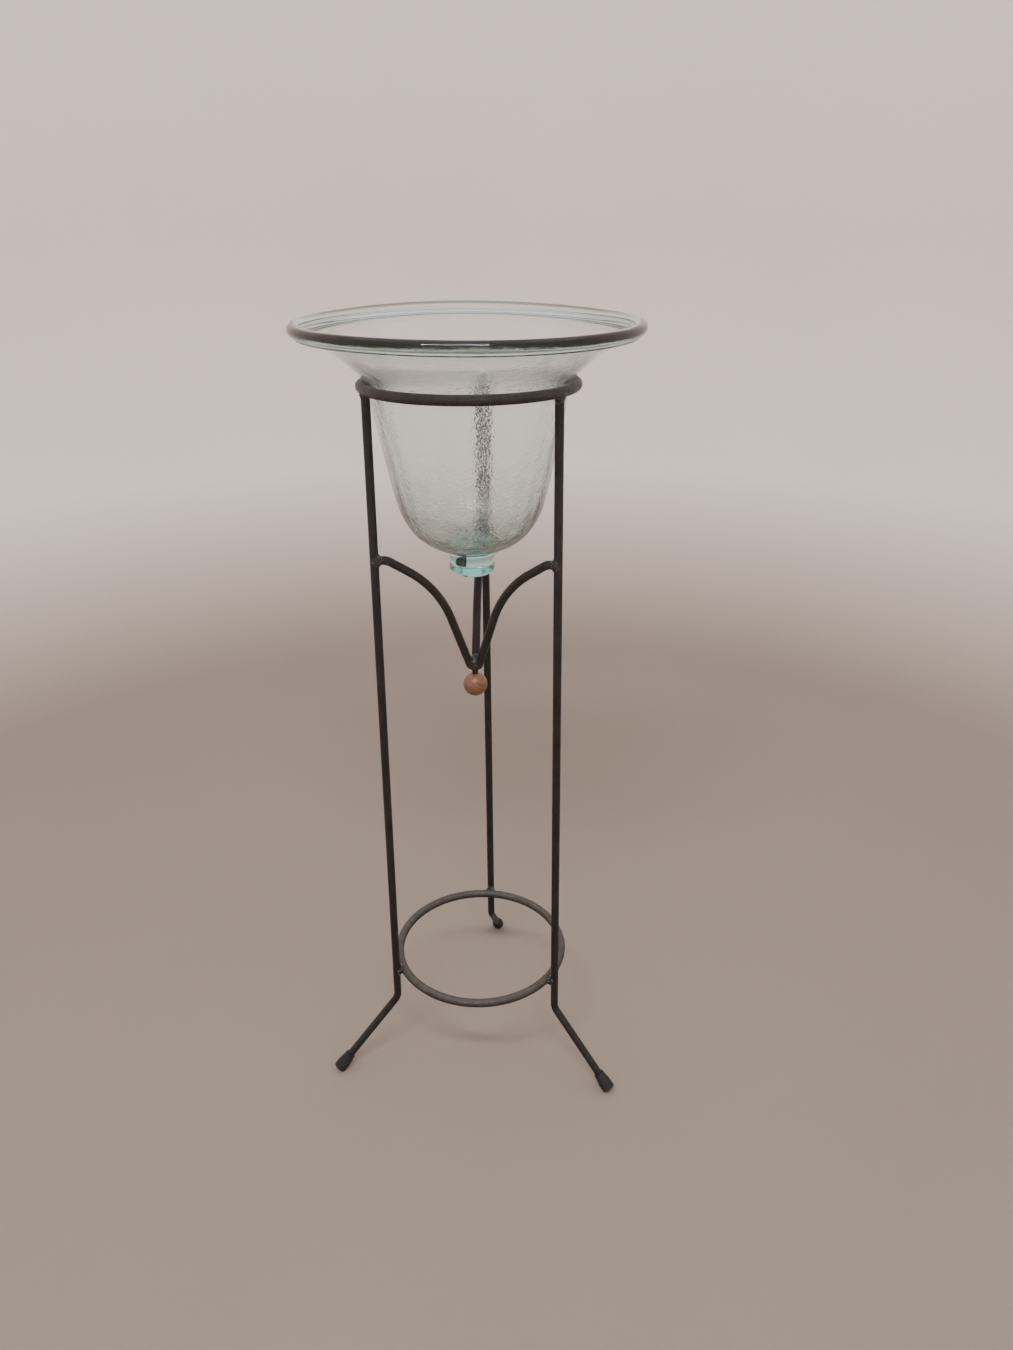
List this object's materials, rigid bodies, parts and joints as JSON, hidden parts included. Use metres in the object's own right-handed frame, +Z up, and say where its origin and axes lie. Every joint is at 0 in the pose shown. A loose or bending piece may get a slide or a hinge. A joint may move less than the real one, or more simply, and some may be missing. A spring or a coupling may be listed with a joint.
{
  "type": "bird bath",
  "caption": "Round glass bird bath bowl with a flared rim and solid foot, hanging loose in a tall three-legged steel stand with bent feet and a wooden ball finial.",
  "frame": {"origin": "on the stand's vertical axis, at floor level, at the centre of the circle that the three feet stand on", "axes": "+Z up along the stand's axis; +Y towards the rear leg; +X to the right seen from the front"},
  "size_m": [0.312, 0.3304, 0.7953],
  "materials": {
    "glass": "clear pale aqua recycled glass, pebbled",
    "black_steel": "satin black-brown wax over forged bar",
    "weld": "rough weld bead, worn",
    "rubber": "matt black rubber",
    "wood": "turned, oiled"
  },
  "bodies": {
    "stand": {"top_ring": "black_steel", "bottom_ring": "black_steel", "leg_front_left": "black_steel", "leg_front_right": "black_steel", "leg_rear": "black_steel", "brace_front_left": "black_steel", "brace_front_right": "black_steel", "brace_rear": "black_steel", "foot_cap_front_left": "rubber", "foot_cap_front_right": "rubber", "foot_cap_rear": "rubber", "ball_stud": "black_steel", "wood_ball": "wood", "top_ring_welds": "weld", "bottom_ring_welds": "weld", "brace_welds": "weld", "hub_weld": "weld"},
    "bowl": {"glass_bowl": "glass"}
  },
  "joints": [
    {"name": "bowl_lift", "type": "slide", "parent": "stand", "child": "bowl", "axis": [0, 0, 1], "range_m": [0, 0.24]}
  ]
}
